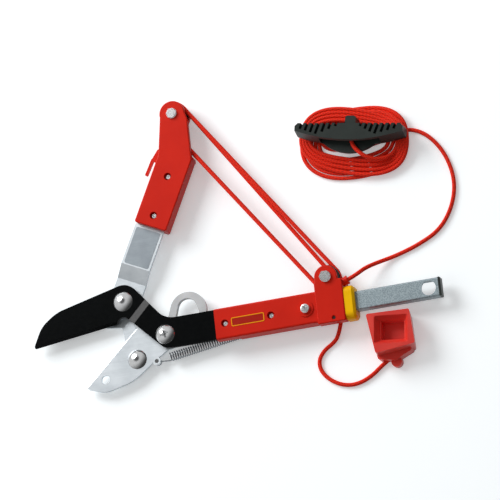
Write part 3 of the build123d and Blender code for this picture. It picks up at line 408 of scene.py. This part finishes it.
def rope_piece(name, routes, diameter=ROPE):
    """Short lengths of rope, one for each route, as one mesh piece with the braid on it."""
    joined = bmesh.new()
    longest = 0.0
    for route in routes:
        curve = spline_curve(name, route, diameter)
        longest = max(longest, route_length(curve))
        mesh = mesh_from(curve)
        bpy.data.objects.remove(curve)
        joined.from_mesh(mesh)
        bpy.data.meshes.remove(mesh)
    mesh = mesh_of(joined, name)
    smooth(mesh)
    mesh.materials.append(braided_rope("braided_" + name, longest))
    piece = add_piece(name, mesh)
    return piece


# ---------------------------------------------------------------- the coil of pull cord
COIL = Vector(mm(-62.0, 168.6, 0))  # its middle
COIL_TILT = math.radians(-10)
COIL_START = math.radians(112)  # where each set of turns begins
LOWER_TILT, UPPER_TILT = math.radians(6), math.radians(-7)  # how each set lies on the coil
LAYER = 3.9 * MM  # from the lower turns up to the upper ones
PER_TURN = 20  # control points in a turn
FULLNESS = 0.86  # under 1, a turn is fuller than an ellipse
WANDER = ((1.7, 2.04, 1.0), (1.2, 0.93, 2.0))  # looseness: mm, waves a turn, share of the seed
WANDER_LONG = 0.6  # how much of it goes along the coil
HUMP_RISE = ROPE  # how far a turn rises over the cord's way in
HUMP_REACH, HUMP_SLOPE = math.radians(50), math.radians(30)
# in mm, along and across the coil, and up from the floor where they climb
WAY_IN = [
    (40.0, 7.0), (25.0, -1.0), (9.0, -6.0), (-6.0, -8.4), (-17.0, -9.0), (-27.0, -8.2),
    (-34.5, -3.5), (-34.5, 5.5), (-27.0, 11.8),
]
WAY_OUT = [
    (45.0, -11.0, 7.6), (38.0, -18.0, 8.6), (28.5, -21.5, 11.5), (19.5, -20.8, 15.0),
    (11.5, -17.0, 17.6), (5.0, -11.5, 17.7), (1.2, -6.0, 17.7), (0.2, -1.5, 17.8),
]


def on_coil(a, b, height, tilt=0.0):
    """A point a along and b across the coil, in mm, at this height."""
    c, s = math.cos(COIL_TILT + tilt), math.sin(COIL_TILT + tilt)
    return (COIL.x + (a * c - b * s) * MM, COIL.y + (a * s + b * c) * MM, height)


def smoothstep(x):
    """0 below 0 and 1 above 1, with a soft rise between."""
    x = min(1.0, max(0.0, x))
    return x * x * (3 - 2 * x)


def hump(angle, half_long):
    """How far a turn this long rises at an angle, to step over the cord's way in.

    The way in slants, so a longer turn crosses it further round."""
    crossing = math.radians(8 + 16 * (half_long - 33) / 24)
    away = abs((angle - crossing + math.pi) % (2 * math.pi) - math.pi)
    return HUMP_RISE * smoothstep((HUMP_REACH - away) / HUMP_SLOPE)


def wound(turns, long, wide, base, tilt, seed):
    """Loose clockwise turns whose half length and half width go from their first value to
    their second, in mm."""
    points = []
    steps = round(turns * PER_TURN)
    for i in range(steps):
        share = i / steps
        angle = COIL_START - 2 * math.pi * turns * share
        loose = sum(size * math.sin(angle * waves + seed * shift) for size, waves, shift in WANDER)
        half_long = long[0] + (long[1] - long[0]) * share + WANDER_LONG * loose
        half_wide = wide[0] + (wide[1] - wide[0]) * share + loose
        c, s = math.cos(angle), math.sin(angle)
        a = half_long * math.copysign(abs(c) ** FULLNESS, c)
        b = half_wide * math.copysign(abs(s) ** FULLNESS, s)
        points.append(on_coil(a, b, base + hump(angle, half_long), tilt))
    return points


def coil_points():
    """Five turns wind outwards on the floor, then four and a third wind back in on top."""
    points = [on_coil(a, b, LIE) for a, b in WAY_IN]
    points += wound(5, (34.5, 58.5), (17.0, 37.5), LIE, LOWER_TILT, 0.4)
    points += wound(4.33, (57.5, 46.0), (37.5, 19.5), LIE + LAYER, UPPER_TILT, 2.1)[2:]
    return points + [on_coil(a, b, LIE + up * MM) for a, b, up in WAY_OUT]


# ---------------------------------------------------------------- pull cord and tether
PULL_ROUTE = [
    EXIT,
    (EXIT[0] + 8 * MM * EXIT_WAY[0], EXIT[1] + 8 * MM * EXIT_WAY[1], EXIT[2]),
    (-0.064, 0.0336, LIE + 11.2 * MM),
    (-0.052, 0.0386, LIE + 4.6 * MM),
    (-0.036, 0.0428, LIE),
    (-0.012, 0.0496, LIE),
    (0.014, 0.0615, LIE),
    (0.030, 0.084, LIE),
    (0.036, 0.111, LIE),
    (0.0285, 0.141, LIE),
    (0.012, 0.1635, LIE),
    (-0.0065, 0.1722, LIE),
]
TETHER_ROUTE = [
    (-0.0971, -0.0177, LIE + 4.8 * MM),
    (-0.1016, -0.0294, LIE + 1.5 * MM),
    (-0.1084, -0.0354, LIE),
    (-0.1176, -0.0404, LIE),
    (-0.1248, -0.0495, LIE),
    (-0.1240, -0.0615, LIE),
    (-0.1148, -0.0730, LIE),
    (-0.1006, -0.0806, LIE),
    (-0.0860, -0.0810, LIE),
    (-0.0715, -0.0750, LIE),
    (-0.0605, -0.0665, LIE + 0.4 * MM),
    (-0.0516, -0.0614, LIE + 1.4 * MM),
]
BELLY_TOP = FLOOR + 17.2 * MM  # the floor of the grip's window
KNOT_ROPE = 3.4 * MM  # pulled tight
KNOT_WIDE, KNOT_HIGH = 0.6 * MM, 0.8 * MM
KNOT_STEPS = 24


def add_knot():
    """The overhand knot that holds the cord inside the grip."""
    middle = Vector(on_coil(0.0, 0.0, BELLY_TOP + 2.7 * MM))
    route = []
    for i in range(KNOT_STEPS + 1):
        t = 2 * math.pi * i / KNOT_STEPS
        x, y = math.sin(t) + 2 * math.sin(2 * t), math.cos(t) - 2 * math.cos(2 * t)
        z = -math.sin(3 * t)
        route.append((middle.x + KNOT_WIDE * x, middle.y + KNOT_WIDE * y, middle.z + KNOT_HIGH * z))
    knot = rope_piece("grip_knot", [route], KNOT_ROPE)
    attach(knot, "arm")
    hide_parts("handle_knot")
    return knot


def add_pull_cord():
    """The free end of the rope: from the head over the floor, nine loose turns, and the grip."""
    cord = spline_curve("pull_cord", PULL_ROUTE + coil_points(), ROPE)
    length = route_length(cord)
    cord.data.materials.append(braided_rope("braided_pull_cord", length))
    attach(cord, "arm")
    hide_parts("pull_cord_run", "pull_cord_coil")
    add_knot()


def add_tether():
    """The short cord that keeps the cap on the head."""
    cord = spline_curve("cap_tether", TETHER_ROUTE, ROPE)
    length = route_length(cord)
    cord.data.materials.append(braided_rope("braided_tether", length))
    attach(cord, "arm")
    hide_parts("tether_cord")


def add_tether_start():
    """The tether's first stretch, inside the head."""
    start = Vector(TETHER_ROUTE[0])
    inwards = (start - Vector(TETHER_ROUTE[1])).normalized()
    route = [tuple(start + inwards * t * MM) for t in (-0.2, 1.5, 3.5, 5.0)]
    root = rope_piece("tether_start", [route])
    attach(root, "arm")
    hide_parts("tether_root")


# ---------------------------------------------------------------- the tackle
WAY = (HEAD_AXLE - LEVER_TIP).to_2d().normalized()  # from the lever's tip to the head
FACING = math.atan2(WAY.y, WAY.x)
QUARTER = math.pi / 2
TIP_HIGH, TIP_LOW = -2.5 * MM, -8.7 * MM  # the rope's heights on the lever's pulleys
HEAD_HIGH, HEAD_LOW = EXIT[2], EXIT[2] - 6.2 * MM  # and on the head's
EYE_HIGH, EYE_RADIUS = -11.5 * MM, 5.5 * MM  # the rope's end, an eye round the head's axle
EYE_START, EYE_SWEEP = FACING - math.radians(168), math.radians(258)
ARC_STEP = math.radians(24)  # between control points


def arc_route(centre, radius, start, sweep, height):
    """Control points round a pulley; the inner ones stand out, so the rope runs at the radius."""
    steps = max(4, round(abs(sweep) / ARC_STEP))
    out = radius / math.cos(sweep / steps / 2) ** 0.5
    route = []
    for i in range(steps + 1):
        angle = start + sweep * i / steps
        r = radius if i in (0, steps) else out
        route.append((centre.x + r * math.cos(angle), centre.y + r * math.sin(angle), height))
    return route


def add_tackle_runs():
    """The rope's four straight runs between the lever's tip and the head."""
    side = Vector((-WAY.y, WAY.x))
    runs = [  # sideways and height at the head, then at the tip
        (-PITCH, HEAD_HIGH, -PITCH, TIP_HIGH),
        (PITCH, HEAD_LOW, PITCH, TIP_HIGH),
        (-PITCH, HEAD_LOW, -PITCH, TIP_LOW),
        (EYE_RADIUS, EYE_HIGH, PITCH, TIP_LOW),
    ]
    routes = []
    for head_off, head_z, tip_off, tip_z in runs:
        tip = Vector((*(LEVER_TIP.to_2d() + side * tip_off), tip_z))
        head = Vector((*(HEAD_AXLE.to_2d() + side * head_off), head_z))
        routes.append([tuple(tip.lerp(head, t)) for t in (0, 0.05, 0.5, 0.95, 1)])
    strands = rope_piece("tackle_runs", routes)
    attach(strands, "arm")
    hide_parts("tackle_strands")
    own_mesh(strands)


def add_lever_turns():
    """The rope round the two pulleys in the lever's tip."""
    start = FACING + QUARTER
    routes = [arc_route(LEVER_TIP, PITCH, start, math.pi, z) for z in (TIP_HIGH, TIP_LOW)]
    turns = rope_piece("lever_turns", routes)
    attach(turns, "lever")
    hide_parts("lever_rope_turns")


def add_head_turns():
    """The rope round the head's pulleys, its way out and its eye round the axle."""
    start = FACING - QUARTER
    leaves = math.atan2(EXIT_WAY[1], EXIT_WAY[0]) - QUARTER
    sweep = (leaves - FACING + QUARTER) % (2 * math.pi)
    lead = arc_route(HEAD_AXLE, PITCH, start, sweep, HEAD_HIGH)
    off_x, off_y = PITCH * math.cos(leaves), PITCH * math.sin(leaves)
    lead[-1:] = [(HEAD_AXLE.x + off_x, HEAD_AXLE.y + off_y, HEAD_HIGH), EXIT]
    around = arc_route(HEAD_AXLE, PITCH, start, math.pi, HEAD_LOW)
    eye = arc_route(HEAD_AXLE, EYE_RADIUS, EYE_START, EYE_SWEEP, EYE_HIGH)
    turns = rope_piece("head_turns", [lead, around, eye])
    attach(turns, "arm")
    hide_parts("head_rope_turns")


# ---------------------------------------------------------------- return spring
STUD = Vector(mm(-290.5, -24.0, 0))  # on the hook blade
ANCHOR = Vector(mm(-190.0, -9.5, 0))  # under the arm
SPRING_RADIUS, SPRING_WIRE = 5.0 * MM, 1.2 * MM
WOUND_FROM, WOUND_LENGTH, WOUND_PITCH = 14 * MM, 78.04 * MM, 2.5 * MM
WOUND_START, WOUND_POINTS = math.radians(225), 14  # control points in a turn
RING_RADIUS, RING_DROP = 2.9 * MM, 3.4 * MM  # the rings lie lower than the spring's middle
RING_POINTS, RING_STEP = 14, 25  # degrees


def ring_points(centre, along, side, first):
    """Most of a ring of wire round a pin, from an angle in degrees."""
    turns = [math.radians(first + RING_STEP * i) for i in range(RING_POINTS)]
    return [centre + (along * math.cos(t) + side * math.sin(t)) * RING_RADIUS for t in turns]


def wound_points(along, side, middle):
    """The spring's turns, along the line from its stud."""
    radius = SPRING_RADIUS - SPRING_WIRE / 2
    turns = WOUND_LENGTH / WOUND_PITCH
    steps = round(turns * WOUND_POINTS)
    points = []
    for i in range(steps + 1):
        share = i / steps
        turn = WOUND_START + 2 * math.pi * turns * share
        centre = STUD + along * (WOUND_FROM + WOUND_LENGTH * share) + Vector((0, 0, middle))
        across = side * (radius * math.cos(turn)) + Vector((0, 0, radius * math.sin(turn)))
        points.append(centre + across)
    return points


def add_spring():
    """The return spring as wound wire with a ring at each end."""
    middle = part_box("return_spring")[1][2] - SPRING_RADIUS
    ring_height = Vector((0, 0, middle - RING_DROP))
    along = (ANCHOR - STUD).normalized()
    side = Vector((-along.y, along.x, 0))
    points = ring_points(STUD + ring_height, along, side, -170)
    points += wound_points(along, side, middle)
    points += ring_points(ANCHOR + ring_height, along, side, -150)
    curve = spline_curve("return_spring_wire", points, SPRING_WIRE, sides=2, steps=2)
    mesh = mesh_from(curve)
    bpy.data.objects.remove(curve)
    smooth(mesh)
    mesh.materials.append(FINISH["spring_steel"])
    spring = add_piece("return_spring_wire", mesh)
    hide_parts("return_spring")
    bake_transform(spring)


# ---------------------------------------------------------------- blank badge
BADGE_X, BADGE_Y = -188.0 * MM, -1.2 * MM
BADGE_HALF_LONG, BADGE_HALF_WIDE, BADGE_CORNER = 17.3 * MM, 4.6 * MM, 1.6 * MM
BADGE_BORDER, BADGE_RISE, BADGE_FIELD_DROP = 0.9 * MM, 0.35 * MM, 0.15 * MM
BADGE_SEAT = 0.05 * MM  # how far it sits in the casing
SCREW_RIM = 1.0 * MM  # how far the casing's highest rim stands over its face
FIELD, BORDER = 0, 1  # material slots


def rounded_face(shape, half_long, half_wide, corner):
    """A flat rounded rectangle round the origin, as one face."""
    made = bmesh.ops.create_grid(shape, x_segments=1, y_segments=1, size=1.0)["verts"]
    bmesh.ops.scale(shape, verts=made, vec=(half_long, half_wide, 1))
    bmesh.ops.bevel(shape, geom=made, offset=corner, offset_type="OFFSET", affect="VERTICES",
                    segments=5, profile=0.5, material=-1)


def extrude_up(shape, faces, rise):
    """Extrudes faces along Z and returns the new faces."""
    made = bmesh.ops.extrude_face_region(shape, geom=faces)["geom"]
    moved = [v for v in made if isinstance(v, bmesh.types.BMVert)]
    bmesh.ops.translate(shape, verts=moved, vec=(0, 0, rise))
    return [f for f in made if isinstance(f, bmesh.types.BMFace)]


def add_badge():
    """A thin blank plate with a raised yellow border on the arm casing."""
    face_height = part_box("arm_casing_top")[1][2] - SCREW_RIM
    shape = bmesh.new()
    rounded_face(shape, BADGE_HALF_LONG, BADGE_HALF_WIDE, BADGE_CORNER)
    bmesh.ops.inset_region(shape, faces=shape.faces[:], thickness=BADGE_BORDER,
                           use_even_offset=True, use_boundary=True)
    raised = extrude_up(shape, shape.faces[:], BADGE_RISE)
    field = max(raised, key=lambda f: f.calc_area())
    for face in shape.faces:
        face.material_index = BORDER
    for face in extrude_up(shape, [field], -BADGE_FIELD_DROP):
        face.material_index = FIELD
    bmesh.ops.delete(shape, geom=[field], context="FACES_ONLY")
    bmesh.ops.recalc_face_normals(shape, faces=shape.faces)
    place = (BADGE_X, BADGE_Y, face_height - BADGE_SEAT)
    bmesh.ops.translate(shape, verts=shape.verts, vec=place)
    badge = add_piece("blank_badge", mesh_of(shape, "blank_badge"))
    red, deep_red = (0.45, 0.012, 0.004), (0.38, 0.01, 0.003)
    yellow, deep_yellow = (0.95, 0.36, 0.002), (0.85, 0.3, 0.002)
    badge.data.materials.append(moulded_plastic("badge_field_red", red, deep_red, 0.3))
    badge.data.materials.append(moulded_plastic("badge_border_yellow", yellow, deep_yellow, 0.3))
    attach(badge, "arm")


# ---------------------------------------------------------------- stage
MIDDLE = Vector((-0.17, 0.06, 0))  # of the tool on the floor
KEY_WAY = Vector((-0.56, 0.56, 0.61)).normalized()
KEY_AWAY, KEY_SIZE, KEY_POWER = 2.36, 1.45, 42
GROUND_HALF = 3.0  # half the side of the white ground
GROUND_WHITE, GROUND_LIFT = (0.88, 0.93, 0.95, 1), 0.31
KEY_SPREAD = (-0.3, 0.65)  # how close to the key's direction its side starts and is full
GAP_WAY = (-0.24, 0.27, 0.93)  # a dark gap in the ceiling
GAP_SPREAD = (0.87, 0.975)
CAMERA_AWAY, CAMERA_SENSOR = 8.0, 36
CAMERA_LEAN_X, CAMERA_LEAN_Y, CAMERA_ROLL = (math.radians(a) for a in (16, 14, -6.2))
VIEW_WIDTH = 0.5  # what the camera takes in from side to side
AIM_RIGHT, AIM_UP = -0.1785, 0.0378  # where it aims, from the tang's bore
AIM_HIGH = 0.9 * MM


def add_camera():
    """A long lens, leaning a little to the right of and below straight down."""
    back = Vector((math.tan(CAMERA_LEAN_X), -math.tan(CAMERA_LEAN_Y), 1)).normalized()
    right = Vector((0, 1, 0)).cross(back).normalized()
    up = back.cross(right)
    turn = Matrix.Rotation(CAMERA_ROLL, 3, "Z")
    right, up, back = turn @ right, turn @ up, turn @ back
    target = Vector((0, 0, AIM_HIGH)) + right * AIM_RIGHT + up * AIM_UP
    camera = add_piece("camera", bpy.data.cameras.new("camera"))
    camera.data.sensor_width = CAMERA_SENSOR
    camera.data.lens = CAMERA_SENSOR * CAMERA_AWAY / VIEW_WIDTH
    camera.data.clip_start = 1
    camera.data.clip_end = 60
    placed = Matrix((right, up, back)).transposed().to_4x4()
    placed.translation = target + back * CAMERA_AWAY
    camera.matrix_world = placed
    bpy.context.scene.camera = camera


def add_key_lamp():
    """One large round lamp that faces the tool."""
    lamp = bpy.data.lights.new("key", "AREA")
    lamp.shape = "DISK"
    lamp.size = KEY_SIZE
    lamp.energy = KEY_POWER
    piece = add_piece("key", lamp)
    piece.location = MIDDLE + KEY_WAY * KEY_AWAY
    piece.rotation_euler = (-KEY_WAY).to_track_quat("-Z", "Y").to_euler()


def white_ground():
    """White paper that stays white to the eye and in reflections, and keeps the shadows."""
    material, tree, shader = new_material("white_ground", {
        "Base Color": GROUND_WHITE,
        "Roughness": 0.9,
        "Specular IOR Level": 0.1,
        "Emission Color": (1, 1, 1, 1),
    })
    ray = add_node(tree, "ShaderNodeLightPath").outputs
    seen = calculate(tree, "MAXIMUM", ray["Is Camera Ray"], ray["Is Glossy Ray"])
    lift = calculate(tree, "MULTIPLY", seen, GROUND_LIFT)
    tree.links.new(lift, shader.inputs["Emission Strength"])
    return material


def add_floor():
    """A square of white ground under the tool."""
    shape = bmesh.new()
    bmesh.ops.create_grid(shape, x_segments=1, y_segments=1, size=GROUND_HALF)
    bmesh.ops.translate(shape, verts=shape.verts, vec=(MIDDLE.x, MIDDLE.y, FLOOR))
    floor = add_piece("floor", mesh_of(shape, "floor"))
    floor.data.materials.append(white_ground())


def by_direction(tree, where, direction, closeness, levels):
    """A level that goes from one value to the other as the view turns towards a direction."""
    facing = add_node(tree, "ShaderNodeVectorMath", operation="DOT_PRODUCT")
    facing.inputs[1].default_value = Vector(direction).normalized()
    tree.links.new(where.outputs["Generated"], facing.inputs[0])
    limits = dict(zip(("From Min", "From Max", "To Min", "To Max"), (*closeness, *levels)))
    level = add_node(tree, "ShaderNodeMapRange", limits, interpolation_type="SMOOTHSTEP")
    tree.links.new(facing.outputs["Value"], level.inputs["Value"])
    return level.outputs["Result"]


def studio_world():
    """Even light, brighter on the key lamp's side, with a dark gap in the ceiling."""
    world = bpy.data.worlds.new("studio")
    bpy.context.scene.world = world
    world.use_nodes = True
    tree = world.node_tree
    background = tree.nodes["Background"]
    background.inputs["Color"].default_value = (1, 1, 1, 1)
    where = add_node(tree, "ShaderNodeTexCoord")
    sides = by_direction(tree, where, KEY_WAY, KEY_SPREAD, (0.05, 0.68))
    gap = by_direction(tree, where, GAP_WAY, GAP_SPREAD, (1.0, 0.12))
    tree.links.new(calculate(tree, "MULTIPLY", sides, gap), background.inputs["Strength"])


def add_stage():
    """Camera, ground and light, at plain daylight levels."""
    add_camera()
    add_floor()
    add_key_lamp()
    studio_world()
    bpy.context.scene.view_settings.view_transform = "Standard"


# ---------------------------------------------------------------- assembly
add_stage()
paint_nodes()
add_pull_cord()
add_tether()
add_tackle_runs()
add_lever_turns()
add_head_turns()
add_tether_start()
add_spring()
add_badge()
